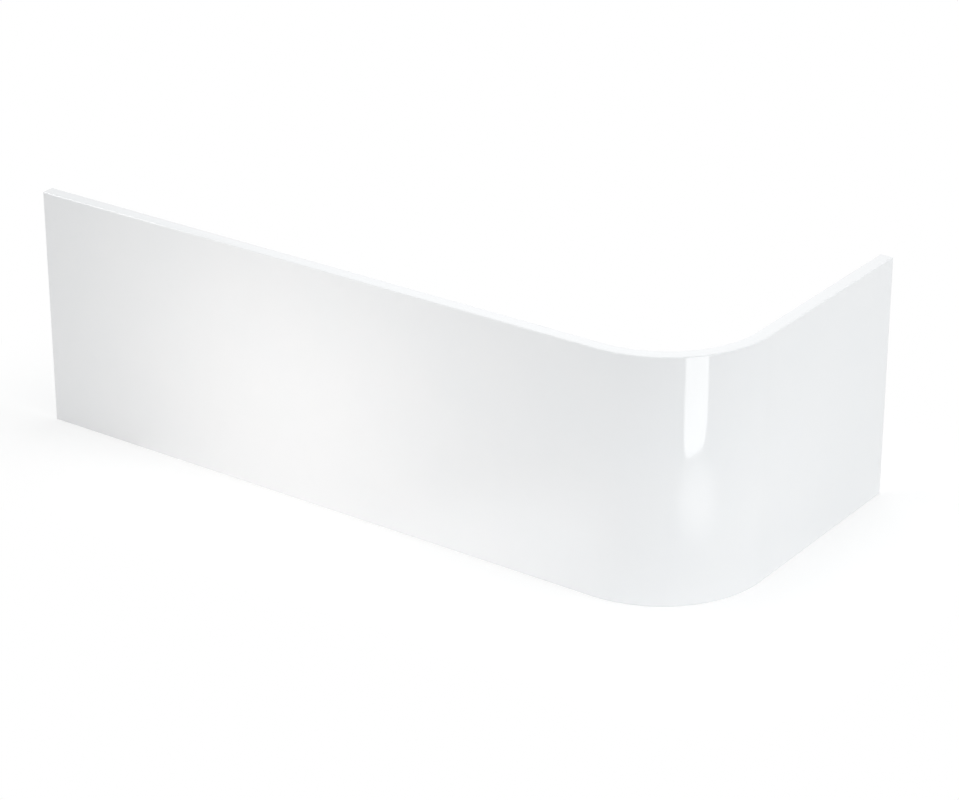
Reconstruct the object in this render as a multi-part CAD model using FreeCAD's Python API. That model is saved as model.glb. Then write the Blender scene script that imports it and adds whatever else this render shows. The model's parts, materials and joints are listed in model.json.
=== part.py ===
"""Bath panel: one acrylic moulding with a long front, a rounded corner and a short return.

A constant section, a thin wall that turns inward at the top into a ledge, follows an L in plan.
The origin is on the floor under the middle of the plan box.  +X runs along the front towards the
return, +Y runs from the front towards the back wall, and +Z is up.  Sizes are in millimetres.
"""

import FreeCAD
import Part

import math
import os

# Outside sizes of the moulding
FRONT_LENGTH = 1700.0
RETURN_LENGTH = 750.0
PANEL_HEIGHT = 550.0
CORNER_RADIUS = 250.0

# Its section
WALL = 5.0
LEDGE_DEPTH = 30.0
TOP_EDGE_RADIUS = 3.0
INSIDE_RADIUS = 4.0

# Eased edges of the trimmed rims and of the two wall ends
RIM_RADIUS = 1.0
END_CHAMFER = 0.5

QUARTER_TURN = 90.0
UP = FreeCAD.Vector(0, 0, 1)
ALONG_FRONT = FreeCAD.Vector(1, 0, 0)
ALONG_RETURN = FreeCAD.Vector(0, 1, 0)

# Places that follow from the sizes
LEFT_END = -FRONT_LENGTH / 2
FRONT_FACE = -RETURN_LENGTH / 2
BACK_END = RETURN_LENGTH / 2
FRONT_STRAIGHT = FRONT_LENGTH - CORNER_RADIUS
RETURN_STRAIGHT = RETURN_LENGTH - CORNER_RADIUS
CORNER_AXIS = FreeCAD.Vector(LEFT_END + FRONT_STRAIGHT, FRONT_FACE + CORNER_RADIUS, 0)


def rounded_wire(corners):
    """A closed wire through corners, each a point and a radius, with its corners as tangent arcs."""
    ends = []
    arcs = []
    for index, (point, radius) in enumerate(corners):
        before = (corners[index - 1][0] - point).normalize()
        after = (corners[(index + 1) % len(corners)][0] - point).normalize()
        half_angle = before.getAngle(after) / 2
        start = point + before * (radius / math.tan(half_angle))
        finish = point + after * (radius / math.tan(half_angle))
        bisector = (before + after).normalize()
        middle = point + bisector * (radius / math.sin(half_angle) - radius)
        arcs.append(Part.Arc(start, middle, finish).toShape())
        ends.append((start, finish))
    edges = []
    for index, arc in enumerate(arcs):
        next_start = ends[(index + 1) % len(ends)][0]
        edges += [arc, Part.LineSegment(ends[index][1], next_start).toShape()]
    return Part.Wire(edges)


def section_face():
    """The moulding's section at the left end: depth runs along +Y from the front face, height along +Z."""

    def at(depth, height):
        return FreeCAD.Vector(LEFT_END, FRONT_FACE + depth, height)

    return Part.Face(
        rounded_wire(
            [
                (at(0, 0), RIM_RADIUS),
                (at(WALL, 0), RIM_RADIUS),
                (at(WALL, PANEL_HEIGHT - WALL), INSIDE_RADIUS),
                (at(LEDGE_DEPTH, PANEL_HEIGHT - WALL), RIM_RADIUS),
                (at(LEDGE_DEPTH, PANEL_HEIGHT), RIM_RADIUS),
                (at(0, PANEL_HEIGHT), TOP_EDGE_RADIUS),
            ]
        )
    )


def swept_section():
    """The section carried along the front, round the corner and along the return, as one solid."""
    section = section_face()
    front = section.extrude(ALONG_FRONT * FRONT_STRAIGHT)
    at_corner = section.translated(ALONG_FRONT * FRONT_STRAIGHT)
    corner = at_corner.revolve(CORNER_AXIS, UP, QUARTER_TURN)
    at_return = at_corner.rotated(CORNER_AXIS, UP, QUARTER_TURN)
    side = at_return.extrude(ALONG_RETURN * RETURN_STRAIGHT)
    return front.fuse([corner, side]).removeSplitter().Solids[0]


def ease_wall_ends(panel):
    """The panel with the edges of its two wall ends chamfered."""
    end_edges = []
    for face in panel.Faces:
        centre = face.CenterOfMass
        flat = face.Surface.TypeId == "Part::GeomPlane"
        at_left = flat and abs(centre.x - LEFT_END) < END_CHAMFER / 2
        at_back = flat and abs(centre.y - BACK_END) < END_CHAMFER / 2
        if at_left or at_back:
            end_edges += face.Edges
    return panel.makeChamfer(END_CHAMFER, end_edges).Solids[0]


def main():
    panel = ease_wall_ends(swept_section())
    os.makedirs("parts", exist_ok=True)
    panel.exportStep("parts/bath_panel.step")
    box = panel.optimalBoundingBox()
    print("valid", panel.isValid(), "faces", len(panel.Faces), "volume_litres", round(panel.Volume / 1e6, 4))
    print("size", round(box.XLength, 3), round(box.YLength, 3), round(box.ZLength, 3))


main()
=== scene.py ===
"""Looks of the bath panel: one glossy white acrylic moulding on a white studio floor.

Metres, in the part's own frame: +X along the front towards the return, +Y from the front
to the back wall, +Z up, with the floor at zero.
"""

import json
import math
from collections import namedtuple

import bpy
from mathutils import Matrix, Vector


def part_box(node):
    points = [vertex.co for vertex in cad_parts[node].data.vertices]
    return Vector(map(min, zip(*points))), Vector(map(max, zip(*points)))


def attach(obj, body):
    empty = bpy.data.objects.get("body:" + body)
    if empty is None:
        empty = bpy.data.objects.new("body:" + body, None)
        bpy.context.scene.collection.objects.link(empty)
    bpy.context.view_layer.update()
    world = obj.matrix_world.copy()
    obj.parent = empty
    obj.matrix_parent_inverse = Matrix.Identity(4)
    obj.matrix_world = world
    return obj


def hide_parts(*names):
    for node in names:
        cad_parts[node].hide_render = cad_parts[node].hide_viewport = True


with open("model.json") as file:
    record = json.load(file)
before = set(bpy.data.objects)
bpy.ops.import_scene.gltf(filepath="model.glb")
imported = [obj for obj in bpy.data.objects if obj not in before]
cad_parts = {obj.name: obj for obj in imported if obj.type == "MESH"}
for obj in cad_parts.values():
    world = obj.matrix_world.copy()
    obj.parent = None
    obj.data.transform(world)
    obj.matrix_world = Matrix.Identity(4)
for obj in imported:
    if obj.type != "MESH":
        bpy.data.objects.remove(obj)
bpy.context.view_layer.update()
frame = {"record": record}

MILLIMETRE = 0.001
MICRON = 0.000001
QUARTER_TURN = math.radians(90)

# Sizes of the moulding, read from the frame and from the places of its mounts
NODE = "bath_panel"
BODY = "root"
PANEL_LOW, PANEL_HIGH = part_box(NODE)
MOUNT_AT = {mount["name"]: Vector(mount["pos_m"]) for mount in frame["record"]["mounts"]}
HEIGHT = PANEL_HIGH.z
WALL = MOUNT_AT["front_inner_face"].y - PANEL_LOW.y
LEDGE_DEPTH = 2 * (MOUNT_AT["rim_ledge"].y - PANEL_LOW.y)
FRONT_STRAIGHT = 2 * (MOUNT_AT["rim_ledge"].x - PANEL_LOW.x)
CORNER_RADIUS = PANEL_HIGH.x - PANEL_LOW.x - FRONT_STRAIGHT
RETURN_STRAIGHT = PANEL_HIGH.y - PANEL_LOW.y - CORNER_RADIUS
CORNER_AXIS = Vector((PANEL_HIGH.x - CORNER_RADIUS, PANEL_LOW.y + CORNER_RADIUS))

# Rounding of its edges
TOP_EDGE_RADIUS = 3 * MILLIMETRE
INSIDE_RADIUS = 4 * MILLIMETRE
RIM_RADIUS = 1 * MILLIMETRE
END_CHAMFER = 0.5 * MILLIMETRE

# How finely the mesh is divided, and the name of its map of the flat sheet
RIM_STEPS = 4
FILLET_STEPS = 10
FACE_ROWS = 22
LEDGE_ROWS = 4
CORNER_STEPS = 90
STRAIGHT_STEP = 25 * MILLIMETRE
SHEET_MAP = "sheet"

# Noise counts as lowest and highest at these values
NOISE_LOW = 0.3
NOISE_HIGH = 0.7

# Acrylic: tints and roughness from low to high noise, waves to the metre, and depths of relief
ACRYLIC_IOR = 1.49
GLOSS_TINTS = ((0.855, 0.862, 0.872), (0.865, 0.868, 0.876))
GLOSS_ROUGHNESS = (0.045, 0.07)
GLOSS_CLOUD_WAVES = 7.0
GLOSS_SHEEN_WAVES = 40.0
GLOSS_SWELL_WAVES = 14.0
GLOSS_SWELL_DEPTH = 40 * MICRON
GLOSS_PEEL_WAVES = 260.0
GLOSS_PEEL_DEPTH = 2 * MICRON
BACK_TINTS = ((0.808, 0.817, 0.828), (0.868, 0.872, 0.877))
BACK_ROUGHNESS = (0.36, 0.52)
BACK_CLOUD_WAVES = 9.0
BACK_SHEEN_WAVES = 60.0
BACK_SWELL_WAVES = 18.0
BACK_SWELL_DEPTH = 400 * MICRON
BACK_GRAIN_WAVES = 420.0
BACK_GRAIN_DEPTH = 60 * MICRON
BACK_GRAIN_SHARE = 0.45
TRIM_TINTS = ((0.815, 0.822, 0.832), (0.865, 0.868, 0.873))
TRIM_ROUGHNESS = (0.3, 0.45)
TRIM_MARK_WAVES = (900.0, 60.0)
TRIM_MARK_DEPTH = 30 * MICRON

# The photograph's view
IMAGE_WIDTH = 959
FOCAL_PIXELS = 3222.0
SENSOR_WIDTH = 36.0
CAMERA_AZIMUTH = math.radians(35.49)
CAMERA_ELEVATION = math.radians(24.87)
CAMERA_DISTANCE = 7.007
CAMERA_AIM = Vector((0.0686, -0.0158, 0.1588))

# Directions in the frame
ALONG_FRONT = Vector((1.0, 0.0, 0.0))
TO_BACK_WALL = Vector((0.0, 1.0, 0.0))
UP = Vector((0.0, 0.0, 1.0))

# Colours of the light
COOL = (0.985, 1.0, 1.004)
WARM = (1.06, 1.0, 0.95)
WHITE = (1.0, 1.0, 1.0)

# Even light all round, and the level that shows as plain white
WORLD_LEVEL = 0.685
PLAIN_WHITE_LEVEL = 1.0

# Floor, which shows as white except for the shadow near the panel
FLOOR_SIZE = 40.0
FLOOR_COLOUR = (0.9, 0.9, 0.9)
FLOOR_GLOW = 0.435
FLOOR_SHADE = (0.6, 0.6, 0.6)
SHADOW_NEAR = 0.05
SHADOW_REACH = 0.4

# Watts that a square metre of soft box takes for a radiance of one
WATTS_FOR_RADIANCE = 4.0

# Middle of a soft box in its own coordinates, which run from nought to one each way
BOX_MIDDLE = (0.5, 0.5, 0.0)

# Large soft boxes above, behind and beside the panel
OVERHEAD_SIZE = (1.8, 1.2)
TOP_BOX_AT = Vector((0.4, -0.5, 2.4))
TOP_BOX_LEVEL = 1.6
BACK_BOX_AT = Vector((-0.2, 1.3, 2.2))
BACK_BOX_AIM = Vector((0.0, 0.0, 0.3))
BACK_BOX_LEVEL = 0.8
SIDE_FILL_AT = Vector((3.2, 0.6, 1.2))
SIDE_FILL_AIM = Vector((0.8, 0.0, 0.3))
SIDE_FILL_SIZE = (1.6, 1.6)
SIDE_FILL_LEVEL = 1.27

# Small soft boxes close to the panel, on both sides of the front and low at the corner and the return
WASH_SIZE = (0.5, 0.5)
FRONT_WASH_AIM = Vector((-0.185, PANEL_LOW.y, 0.26))
FRONT_WASH_DISTANCE = 0.65
FRONT_WASH_LEVEL = 1.25
BACK_WASH_AIM = Vector((-0.05, PANEL_LOW.y, 0.26))
BACK_WASH_DISTANCE = 0.85
BACK_WASH_LEVEL = 0.9
CORNER_FILL_AT = Vector((1.07, -0.92, 0.15))
CORNER_FILL_AIM = Vector((0.65, -0.27, 0.15))
CORNER_FILL_SIZE = (0.4, 0.2)
CORNER_FILL_LEVEL = 1.85
RETURN_FILL_AT = Vector((PANEL_HIGH.x + 0.45, -0.1, 0.08))
RETURN_FILL_AIM = Vector((PANEL_HIGH.x, -0.05, 0.1))
RETURN_FILL_SIZE = (0.4, 0.16)
RETURN_FILL_LEVEL = 0.45

# How high the lights on the floor lie, and the lit table top, the widest of them
FLOOR_LIGHT_HEIGHT = 0.5 * MILLIMETRE
TABLE_LEVEL = 0.135
TABLE_REACH = 0.07
TABLE_LEFT = -0.75
TABLE_FADE = 0.02

# Bright strip that the corner mirrors, and the glow below it, by where round the corner they are seen
STRIP_TURN = math.radians(50.3)
STRIP_DISTANCE = 0.687
STRIP_WIDTH = 0.33
STRIP_HEIGHT = 0.7
STRIP_FOOT = 4 * MILLIMETRE
STRIP_CORNER = 0.065
STRIP_FADE = 0.005
STRIP_LEVEL = 3.0
STRIP_POOL_TURN = math.radians(51.7)
STRIP_POOL_DISTANCE = 0.481
STRIP_POOL_WIDTH = 0.52
STRIP_POOL_FADE = 0.17
STRIP_POOL_LEVEL = 1.05

# Pool of light on the floor that the foot of the front mirrors
FOOT_POOL_AT = Vector((0.33, PANEL_LOW.y - 0.1))
FOOT_POOL_WIDTH = 0.82
FOOT_POOL_FADE = 0.41
FOOT_POOL_LEVEL = 0.9

# Box that the front's top edge mirrors
EDGE_BOX_AT = Vector((PANEL_LOW.x - 0.65, PANEL_LOW.y - 0.525, HEIGHT + 0.75))
EDGE_BOX_SIZE = (1.4, 1.4)
EDGE_BOX_FADE = 0.4
EDGE_BOX_LEVEL = 4.3

# A ring of the mesh across the wall, and a face of the mesh with its place on the flat sheet
Ring = namedtuple("Ring", "along place inward inset")
Face = namedtuple("Face", "quad sheet finish rounded")


# Section of the moulding, as (depth behind the outer face, height)
def arc_points(centre, radius, first, last, steps, hollow=False):
    """Points of an arc between two angles in degrees, each with the direction its surface faces.

    The arc's last point is left to the stretch that follows it.
    """
    points = []
    for step in range(steps):
        angle = math.radians(first + (last - first) * step / steps)
        spoke = Vector((math.cos(angle), math.sin(angle)))
        points.append((Vector(centre) + radius * spoke, -spoke if hollow else spoke))
    return points


def flat_points(start, end, facing, rows):
    """Points along a flat stretch, each with the direction its surface faces, without the last one."""
    start, end, facing = Vector(start), Vector(end), Vector(facing)
    return [(start.lerp(end, row / rows), facing) for row in range(rows)]


def section_points():
    """The section's points and the finish after each, from the outer foot over the ledge and back.

    Read from both ends the list pairs each outer point with the inner one across the wall.
    """
    rim, top, inside = RIM_RADIUS, TOP_EDGE_RADIUS, INSIDE_RADIUS
    under = HEIGHT - WALL
    tip = LEDGE_DEPTH
    hollow = arc_points((WALL + inside, under - inside), inside, 90, 180, FILLET_STEPS, hollow=True)
    stretches = [
        ("trimmed", arc_points((rim, rim), rim, 270, 180, RIM_STEPS)),
        ("gloss", flat_points((0, rim), (0, HEIGHT - top), (-1, 0), FACE_ROWS)),
        ("gloss", arc_points((top, HEIGHT - top), top, 180, 90, FILLET_STEPS)),
        ("gloss", flat_points((top, HEIGHT), (tip - rim, HEIGHT), (0, 1), LEDGE_ROWS)),
        ("gloss", arc_points((tip - rim, HEIGHT - rim), rim, 90, 0, RIM_STEPS)),
        ("trimmed", flat_points((tip, HEIGHT - rim), (tip, under + rim), (1, 0), 1)),
        ("trimmed", arc_points((tip - rim, under + rim), rim, 0, -90, RIM_STEPS)),
        ("back", flat_points((tip - rim, under), (WALL + inside, under), (0, -1), LEDGE_ROWS)),
        ("back", hollow),
        ("back", flat_points((WALL, under - inside), (WALL, rim), (1, 0), FACE_ROWS)),
        ("trimmed", arc_points((WALL - rim, rim), rim, 0, -90, RIM_STEPS)),
        ("trimmed", flat_points((WALL - rim, 0), (rim, 0), (0, -1), 1)),
    ]
    points = [point for _, stretch in stretches for point in stretch]
    finishes = [finish for finish, stretch in stretches for _ in stretch]
    return points, finishes


def section_girth(points):
    """Distance round the section of each point, and of the first one again after a full turn."""
    girth = [0.0]
    for (here, _), (there, _) in zip(points, points[1:] + points[:1]):
        girth.append(girth[-1] + (there - here).length)
    return girth


# Plan of the moulding, along the outer face at floor level
def straight_steps(length, trim_start, trim_end):
    """Even steps along a straight stretch, whose free end stops short by its chamfer."""
    count = round(length / STRAIGHT_STEP)
    run = length - trim_start - trim_end
    return [trim_start + run * step / count for step in range(count + 1)]


def plan_rings():
    """Rings from the front's free end round to the return's, without the chamfered ends."""
    front_start = Vector((PANEL_LOW.x, PANEL_LOW.y))
    return_start = Vector((PANEL_HIGH.x, CORNER_AXIS.y))
    rings = []
    for along in straight_steps(FRONT_STRAIGHT, END_CHAMFER, 0.0):
        rings.append(Ring(along, front_start + Vector((along, 0)), Vector((0, 1)), 0.0))
    for step in range(1, CORNER_STEPS):
        turn = QUARTER_TURN * step / CORNER_STEPS
        inward = Vector((-math.sin(turn), math.cos(turn)))
        along = FRONT_STRAIGHT + turn * CORNER_RADIUS
        rings.append(Ring(along, CORNER_AXIS - CORNER_RADIUS * inward, inward, 0.0))
    after_corner = FRONT_STRAIGHT + QUARTER_TURN * CORNER_RADIUS
    for along in straight_steps(RETURN_STRAIGHT, 0.0, END_CHAMFER):
        rings.append(Ring(after_corner + along, return_start + Vector((0, along)), Vector((-1, 0)), 0.0))
    return rings


def moulding_rings():
    """All rings, with one more at each end of the wall, inset by the chamfer there."""
    rings = plan_rings()
    first, last = rings[0], rings[-1]
    start_place = first.place - Vector((END_CHAMFER, 0))
    end_place = last.place + Vector((0, END_CHAMFER))
    start = Ring(first.along - END_CHAMFER, start_place, first.inward, END_CHAMFER)
    end = Ring(last.along + END_CHAMFER, end_place, last.inward, END_CHAMFER)
    return [start, *rings, end]


# The moulding's mesh
def moulding_vertices(points, rings):
    """(place, normal) of every vertex, ring by ring."""
    vertices = []
    for ring in rings:
        for point, facing in points:
            depth, height = point - ring.inset * facing
            spot = ring.place + ring.inward * depth
            normal = Vector((ring.inward.x * facing.x, ring.inward.y * facing.x, facing.y))
            vertices.append(((spot.x, spot.y, height), normal))
    return vertices


def skin_faces(girth, finishes, rings):
    """Faces between the rings, those of the end chamfers included."""
    count = len(finishes)
    last = len(rings) - 2
    faces = []
    for at_ring, (here, there) in enumerate(zip(rings, rings[1:])):
        chamfer = at_ring in (0, last)
        low, high = at_ring * count, (at_ring + 1) * count
        for at, finish in enumerate(finishes):
            beside = (at + 1) % count
            quad = (low + at, high + at, high + beside, low + beside)
            near, far = girth[at], girth[at + 1]
            sheet = [(here.along, near), (there.along, near), (there.along, far), (here.along, far)]
            faces.append(Face(quad, sheet, "trimmed" if chamfer else finish, not chamfer))
    return faces


def end_faces(girth, finishes, rings):
    """Faces of the two cut ends, in strips across the wall."""
    count = len(finishes)
    faces = []
    for base, flip in ((0, False), ((len(rings) - 1) * count, True)):
        for at in range(count // 2 - 1):
            partner = count - 1 - at
            quad = (base + at, base + at + 1, base + partner - 1, base + partner)
            sheet = [(girth[at], 0.0), (girth[at + 1], 0.0), (girth[at + 1], WALL), (girth[at], WALL)]
            if flip:
                quad, sheet = quad[::-1], sheet[::-1]
            faces.append(Face(quad, sheet, "trimmed", False))
    return faces


def give_finishes(mesh, faces, materials):
    """Gives each face the material of its finish."""
    order = list(materials)
    for finish in order:
        mesh.materials.append(materials[finish])
    mesh.polygons.foreach_set("material_index", [order.index(face.finish) for face in faces])


def give_sheet_and_normals(mesh, faces, vertices):
    """Gives the corners of each face their places on the sheet, and exact or flat normals."""
    mesh.polygons.foreach_set("use_smooth", [True] * len(faces))
    sheet_map = mesh.uv_layers.new(name=SHEET_MAP)
    corner_normals = []
    for polygon, face in zip(mesh.polygons, faces):
        for corner, vertex, at in zip(polygon.loop_indices, face.quad, face.sheet):
            sheet_map.uv[corner].vector = at
            corner_normals.append(vertices[vertex][1] if face.rounded else polygon.normal.copy())
    mesh.update()
    mesh.normals_split_custom_set(corner_normals)


def add_object(name, data):
    """A new object in the scene."""
    item = bpy.data.objects.new(name, data)
    bpy.context.scene.collection.objects.link(item)
    return item


def panel_moulding(materials):
    """The whole moulding as one closed quad mesh."""
    points, finishes = section_points()
    girth = section_girth(points)
    rings = moulding_rings()
    vertices = moulding_vertices(points, rings)
    faces = skin_faces(girth, finishes, rings) + end_faces(girth, finishes, rings)
    mesh = bpy.data.meshes.new("panel_moulding")
    mesh.from_pydata([place for place, _ in vertices], [], [face.quad for face in faces])
    give_finishes(mesh, faces, materials)
    give_sheet_and_normals(mesh, faces, vertices)
    return add_object("panel_moulding", mesh)


# Materials
def shader_material(name):
    """A new material with its node tree and its main shader."""
    material = bpy.data.materials.new(name)
    material.use_nodes = True
    tree = material.node_tree
    return material, tree, tree.nodes["Principled BSDF"]


def add_node(tree, kind, inputs=None, **settings):
    """A node with its settings, and its inputs by name or number.

    Each input is a value or another node's output.
    """
    node = tree.nodes.new(kind)
    for name, value in settings.items():
        setattr(node, name, value)
    for name, value in (inputs or {}).items():
        if isinstance(value, bpy.types.NodeSocket):
            tree.links.new(value, node.inputs[name])
        else:
            node.inputs[name].default_value = value
    return node


def opaque(colour):
    """A colour with full alpha."""
    return (*colour, 1.0)


def sheet_coordinates(tree, scale=(1.0, 1.0)):
    """Metres along the sheet and round its section, each times a scale."""
    place = add_node(tree, "ShaderNodeUVMap", uv_map=SHEET_MAP).outputs["UV"]
    stretch = {"Vector": place, "Scale": (*scale, 1.0)}
    return add_node(tree, "ShaderNodeMapping", stretch).outputs["Vector"]


def noise(tree, place, waves=1.0, detail=2.0):
    """Noise with this many waves to each unit of the coordinates."""
    node = add_node(tree, "ShaderNodeTexNoise", {"Vector": place, "Scale": waves, "Detail": detail})
    return node.outputs["Fac"]


def blended(tree, first, second, share):
    """Two noises in one, with this share of the second."""
    return add_node(tree, "ShaderNodeMix", {"Factor": share, "A": first, "B": second}).outputs["Result"]


def map_range(tree, value, start, end, first, last, **settings):
    """A number that goes from first to last while another goes from start to end."""
    ends = {"Value": value, "From Min": start, "From Max": end, "To Min": first, "To Max": last}
    return add_node(tree, "ShaderNodeMapRange", ends, **settings).outputs["Result"]


def between(tree, amount, low, high):
    """A number that follows noise between two ends."""
    return map_range(tree, amount, NOISE_LOW, NOISE_HIGH, low, high)


def tints(tree, amount, low, high):
    """A colour that follows noise between two near tints."""
    node = add_node(tree, "ShaderNodeValToRGB", {"Fac": amount})
    for element, position, tint in zip(node.color_ramp.elements, (NOISE_LOW, NOISE_HIGH), (low, high)):
        element.position = position
        element.color = opaque(tint)
    return node.outputs["Color"]


def bump(tree, height, depth, under=None):
    """Relief of this depth, over another relief if there is one."""
    inputs = {"Height": height, "Distance": depth}
    if under is not None:
        inputs["Normal"] = under
    return add_node(tree, "ShaderNodeBump", inputs).outputs["Normal"]


def join_acrylic(tree, shader, colour, roughness, relief):
    """Joins a finish's colour, roughness and relief to an acrylic shader."""
    tree.links.new(colour, shader.inputs["Base Color"])
    tree.links.new(roughness, shader.inputs["Roughness"])
    tree.links.new(relief, shader.inputs["Normal"])
    shader.inputs["IOR"].default_value = ACRYLIC_IOR


def gloss_acrylic():
    """Polished outer skin, with the long swell and the fine orange peel of a formed sheet."""
    material, tree, shader = shader_material("gloss_acrylic")
    place = sheet_coordinates(tree)
    cloud = noise(tree, place, GLOSS_CLOUD_WAVES, detail=3.0)
    colour = tints(tree, cloud, *GLOSS_TINTS)
    sheen = noise(tree, place, GLOSS_SHEEN_WAVES)
    roughness = between(tree, sheen, *GLOSS_ROUGHNESS)
    swell = noise(tree, place, GLOSS_SWELL_WAVES, detail=1.0)
    swollen = bump(tree, swell, GLOSS_SWELL_DEPTH)
    peel = noise(tree, place, GLOSS_PEEL_WAVES)
    relief = bump(tree, peel, GLOSS_PEEL_DEPTH, under=swollen)
    join_acrylic(tree, shader, colour, roughness, relief)
    return material


def moulded_back():
    """Satin inner side, mottled and finely grained, as the sheet leaves the mould."""
    material, tree, shader = shader_material("moulded_back")
    place = sheet_coordinates(tree)
    cloud = noise(tree, place, BACK_CLOUD_WAVES, detail=4.0)
    grain = noise(tree, place, BACK_GRAIN_WAVES, detail=3.0)
    mottle = blended(tree, cloud, grain, BACK_GRAIN_SHARE)
    colour = tints(tree, mottle, *BACK_TINTS)
    sheen = noise(tree, place, BACK_SHEEN_WAVES, detail=3.0)
    roughness = between(tree, sheen, *BACK_ROUGHNESS)
    swell = noise(tree, place, BACK_SWELL_WAVES)
    swollen = bump(tree, swell, BACK_SWELL_DEPTH)
    relief = bump(tree, grain, BACK_GRAIN_DEPTH, under=swollen)
    join_acrylic(tree, shader, colour, roughness, relief)
    return material


def trimmed_edge():
    """Cut edges, satin, with fine cutter marks across them."""
    material, tree, shader = shader_material("trimmed_edge")
    place = sheet_coordinates(tree, scale=TRIM_MARK_WAVES)
    marks = noise(tree, place)
    colour = tints(tree, marks, *TRIM_TINTS)
    roughness = between(tree, marks, *TRIM_ROUGHNESS)
    relief = bump(tree, marks, TRIM_MARK_DEPTH)
    join_acrylic(tree, shader, colour, roughness, relief)
    return material


# Studio
def seen_directly(tree):
    """One where a ray comes from the camera, a reflection or clear glass, and nought elsewhere."""
    path = add_node(tree, "ShaderNodeLightPath").outputs
    seen = path["Is Camera Ray"]
    for kind in ("Is Glossy Ray", "Is Transmission Ray"):
        either = add_node(tree, "ShaderNodeMath", {0: seen, 1: path[kind]}, operation="MAXIMUM")
        seen = either.outputs[0]
    return seen


def vector_step(tree, operation, first, second=(0.0, 0.0, 0.0)):
    """One step of vector arithmetic."""
    return add_node(tree, "ShaderNodeVectorMath", {0: first, 1: second}, operation=operation).outputs


def distance_beyond(tree, place, half_size):
    """How far a place lies outside a box about the origin."""
    folded = vector_step(tree, "ABSOLUTE", place)["Vector"]
    past = vector_step(tree, "SUBTRACT", folded, half_size)["Vector"]
    beyond = vector_step(tree, "MAXIMUM", past)["Vector"]
    return vector_step(tree, "LENGTH", beyond)["Value"]


def smooth_step(tree, distance, start, end, first, last):
    """A number that goes smoothly from first to last between two distances."""
    return map_range(tree, distance, start, end, first, last, interpolation_type="SMOOTHSTEP")


def mixed(tree, share, first, second):
    """Two shaders mixed, with this share of the second."""
    return add_node(tree, "ShaderNodeMixShader", {0: share, 1: first, 2: second}).outputs[0]


def matt(tree, colour):
    """A matt surface of this colour."""
    return add_node(tree, "ShaderNodeBsdfDiffuse", {"Color": opaque(colour)}).outputs[0]


def white_glow(tree, level):
    """A surface that gives off white light."""
    return add_node(tree, "ShaderNodeEmission", {"Color": opaque(WHITE), "Strength": level}).outputs[0]


def studio_world():
    """An even soft light all round, which shows as plain white."""
    world = bpy.data.worlds.new("studio")
    bpy.context.scene.world = world
    world.use_nodes = True
    tree = world.node_tree
    light = tree.nodes["Background"]
    light.inputs["Color"].default_value = opaque(COOL)
    light.inputs["Strength"].default_value = WORLD_LEVEL
    plain = {"Color": opaque(WHITE), "Strength": PLAIN_WHITE_LEVEL}
    white = add_node(tree, "ShaderNodeBackground", plain)
    shown = mixed(tree, seen_directly(tree), light.outputs[0], white.outputs[0])
    tree.links.new(shown, tree.nodes["World Output"].inputs["Surface"])


def floor_material():
    """Pale floor that keeps the panel's soft shadow and is plain white further out."""
    material, tree, shader = shader_material("studio_floor")
    tree.nodes.remove(shader)
    bounce = matt(tree, FLOOR_COLOUR)
    shadowed = {0: white_glow(tree, FLOOR_GLOW), 1: matt(tree, FLOOR_SHADE)}
    near = add_node(tree, "ShaderNodeAddShader", shadowed).outputs[0]
    far = white_glow(tree, PLAIN_WHITE_LEVEL)
    place = add_node(tree, "ShaderNodeNewGeometry").outputs["Position"]
    distance = distance_beyond(tree, place, (PANEL_HIGH.x, PANEL_HIGH.y, 0.0))
    outward = smooth_step(tree, distance, SHADOW_NEAR, SHADOW_REACH, first=0.0, last=1.0)
    shown = mixed(tree, seen_directly(tree), bounce, mixed(tree, outward, near, far))
    tree.links.new(shown, tree.nodes["Material Output"].inputs["Surface"])
    return material


def studio_floor():
    """A wide flat floor under the panel."""
    half = FLOOR_SIZE / 2
    corners = [(-half, -half, 0), (half, -half, 0), (half, half, 0), (-half, half, 0)]
    mesh = bpy.data.meshes.new("floor")
    mesh.from_pydata(corners, [], [(0, 1, 2, 3)])
    mesh.materials.append(floor_material())
    floor = add_object("floor", mesh)


def soft_light(name, place, target, size, level, colour=COOL):
    """A soft box whose face has this radiance, which neither the camera nor the gloss shows."""
    data = bpy.data.lights.new(name, "AREA")
    data.shape = "RECTANGLE"
    data.size, data.size_y = size
    data.energy = level * WATTS_FOR_RADIANCE * data.size * data.size_y
    data.color = colour
    light = add_object(name, data)
    light.location = place
    light.rotation_euler = (target - place).to_track_quat("-Z", "Y").to_euler()
    light.visible_camera = False
    light.visible_glossy = False
    return light


def floor_light(name, middle, size, level):
    """A soft box that lies on the floor and shines up."""
    place = Vector((*middle, FLOOR_LIGHT_HEIGHT))
    return soft_light(name, place, place + UP, size, level)


def soft_edges(light, corner, fade):
    """Gives a soft box round corners and edges that fade."""
    data = light.data
    data.use_nodes = True
    tree = data.node_tree
    across = add_node(tree, "ShaderNodeNewGeometry").outputs["Parametric"]
    centred = vector_step(tree, "SUBTRACT", across, BOX_MIDDLE)["Vector"]
    metres = vector_step(tree, "MULTIPLY", centred, (data.size, data.size_y, 0.0))["Vector"]
    inner = (data.size / 2 - corner, data.size_y / 2 - corner, 0.0)
    distance = distance_beyond(tree, metres, inner)
    share = smooth_step(tree, distance, corner - fade, corner, first=1.0, last=0.0)
    tree.links.new(share, tree.nodes["Emission"].inputs["Strength"])


def only_mirrored(light):
    """Leaves a light to show in the gloss and light nothing else."""
    light.data.color = WHITE
    light.visible_glossy = True
    light.visible_diffuse = False


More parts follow.
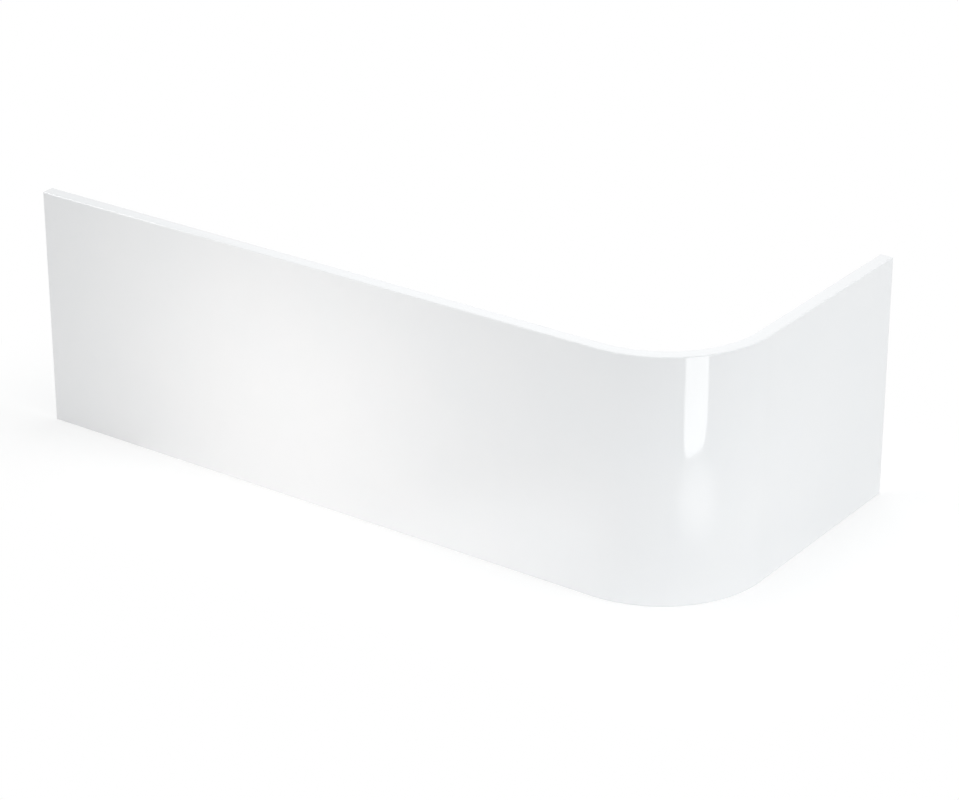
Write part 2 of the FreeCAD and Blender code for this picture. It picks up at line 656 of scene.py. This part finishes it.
def round_lights():
    """The large soft boxes above, behind and beside the panel."""
    soft_light("top_box", TOP_BOX_AT, TOP_BOX_AT - UP, OVERHEAD_SIZE, TOP_BOX_LEVEL, WHITE)
    soft_light("back_box", BACK_BOX_AT, BACK_BOX_AIM, OVERHEAD_SIZE, BACK_BOX_LEVEL, WHITE)
    soft_light("side_fill", SIDE_FILL_AT, SIDE_FILL_AIM, SIDE_FILL_SIZE, SIDE_FILL_LEVEL)


def near_lights():
    """The small soft boxes: a warm glow on both sides of the front, and fills low at the corner."""
    before_front = FRONT_WASH_AIM - FRONT_WASH_DISTANCE * TO_BACK_WALL
    behind_front = BACK_WASH_AIM + BACK_WASH_DISTANCE * TO_BACK_WALL
    soft_light("front_wash", before_front, FRONT_WASH_AIM, WASH_SIZE, FRONT_WASH_LEVEL, WARM)
    soft_light("back_wash", behind_front, BACK_WASH_AIM, WASH_SIZE, BACK_WASH_LEVEL, WARM)
    soft_light("corner_fill", CORNER_FILL_AT, CORNER_FILL_AIM, CORNER_FILL_SIZE, CORNER_FILL_LEVEL)
    soft_light("return_fill", RETURN_FILL_AT, RETURN_FILL_AIM, RETURN_FILL_SIZE, RETURN_FILL_LEVEL)


def light_table():
    """A lit table top under the panel, round like its corner, which keeps its foot from going dark."""
    corner = CORNER_RADIUS + TABLE_REACH
    low = Vector((TABLE_LEFT, PANEL_LOW.y - TABLE_REACH))
    high = Vector((PANEL_HIGH.x + TABLE_REACH, PANEL_HIGH.y + corner))
    table = floor_light("light_table", (low + high) / 2, high - low, TABLE_LEVEL)
    soft_edges(table, corner, TABLE_FADE)


def out_from_corner(turn):
    """The direction that the corner faces at this turn from the front."""
    return Vector((math.sin(turn), -math.cos(turn)))


def mirrored_place(turn, distance):
    """The place in plan that the camera sees mirrored at this turn round the corner, this far off."""
    on_corner = CORNER_AXIS + CORNER_RADIUS * out_from_corner(turn)
    return on_corner + distance * out_from_corner(2 * turn - CAMERA_AZIMUTH)


def strip_box():
    """A tall box standing before the corner, which shows as the bright strip down it."""
    middle = Vector((*mirrored_place(STRIP_TURN, STRIP_DISTANCE), STRIP_FOOT + STRIP_HEIGHT / 2))
    towards_corner = Vector((*-out_from_corner(STRIP_TURN), 0.0))
    size = (STRIP_WIDTH, STRIP_HEIGHT)
    strip = soft_light("strip_box", middle, middle + towards_corner, size, STRIP_LEVEL)
    soft_edges(strip, STRIP_CORNER, STRIP_FADE)
    only_mirrored(strip)


def mirrored_pool(name, middle, width, fade, level):
    """A round pool of light on the floor that shows in the gloss alone."""
    pool = floor_light(name, middle, (width, width), level)
    soft_edges(pool, width / 2, fade)
    only_mirrored(pool)


def mirrored_pools():
    """The glow below the strip, and the one along the foot of the front."""
    strip_middle = mirrored_place(STRIP_POOL_TURN, STRIP_POOL_DISTANCE)
    mirrored_pool("strip_pool", strip_middle, STRIP_POOL_WIDTH, STRIP_POOL_FADE, STRIP_POOL_LEVEL)
    mirrored_pool("foot_pool", FOOT_POOL_AT, FOOT_POOL_WIDTH, FOOT_POOL_FADE, FOOT_POOL_LEVEL)


def edge_box():
    """A box at the left, which shows as the glint along the front's top edge."""
    box = soft_light("edge_box", EDGE_BOX_AT, EDGE_BOX_AT + ALONG_FRONT, EDGE_BOX_SIZE, EDGE_BOX_LEVEL)
    soft_edges(box, EDGE_BOX_FADE, EDGE_BOX_FADE)
    only_mirrored(box)


def photo_camera():
    """The photograph's viewpoint."""
    outward = math.cos(CAMERA_ELEVATION) * out_from_corner(CAMERA_AZIMUTH)
    back = Vector((*outward, math.sin(CAMERA_ELEVATION)))
    data = bpy.data.cameras.new("photo_camera")
    data.sensor_width = SENSOR_WIDTH
    data.lens = FOCAL_PIXELS * SENSOR_WIDTH / IMAGE_WIDTH
    camera = add_object("photo_camera", data)
    camera.location = CAMERA_AIM + CAMERA_DISTANCE * back
    camera.rotation_euler = (-back).to_track_quat("-Z", "Y").to_euler()
    bpy.context.scene.camera = camera


def dress_panel():
    """The moulding with its three finishes, in place of the plain solid."""
    materials = {"gloss": gloss_acrylic(), "back": moulded_back(), "trimmed": trimmed_edge()}
    piece = panel_moulding(materials)
    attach(piece, BODY)
    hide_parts(NODE)


bpy.context.scene.view_settings.view_transform = "Standard"
studio_world()
studio_floor()
round_lights()
near_lights()
light_table()
strip_box()
mirrored_pools()
edge_box()
photo_camera()
dress_panel()
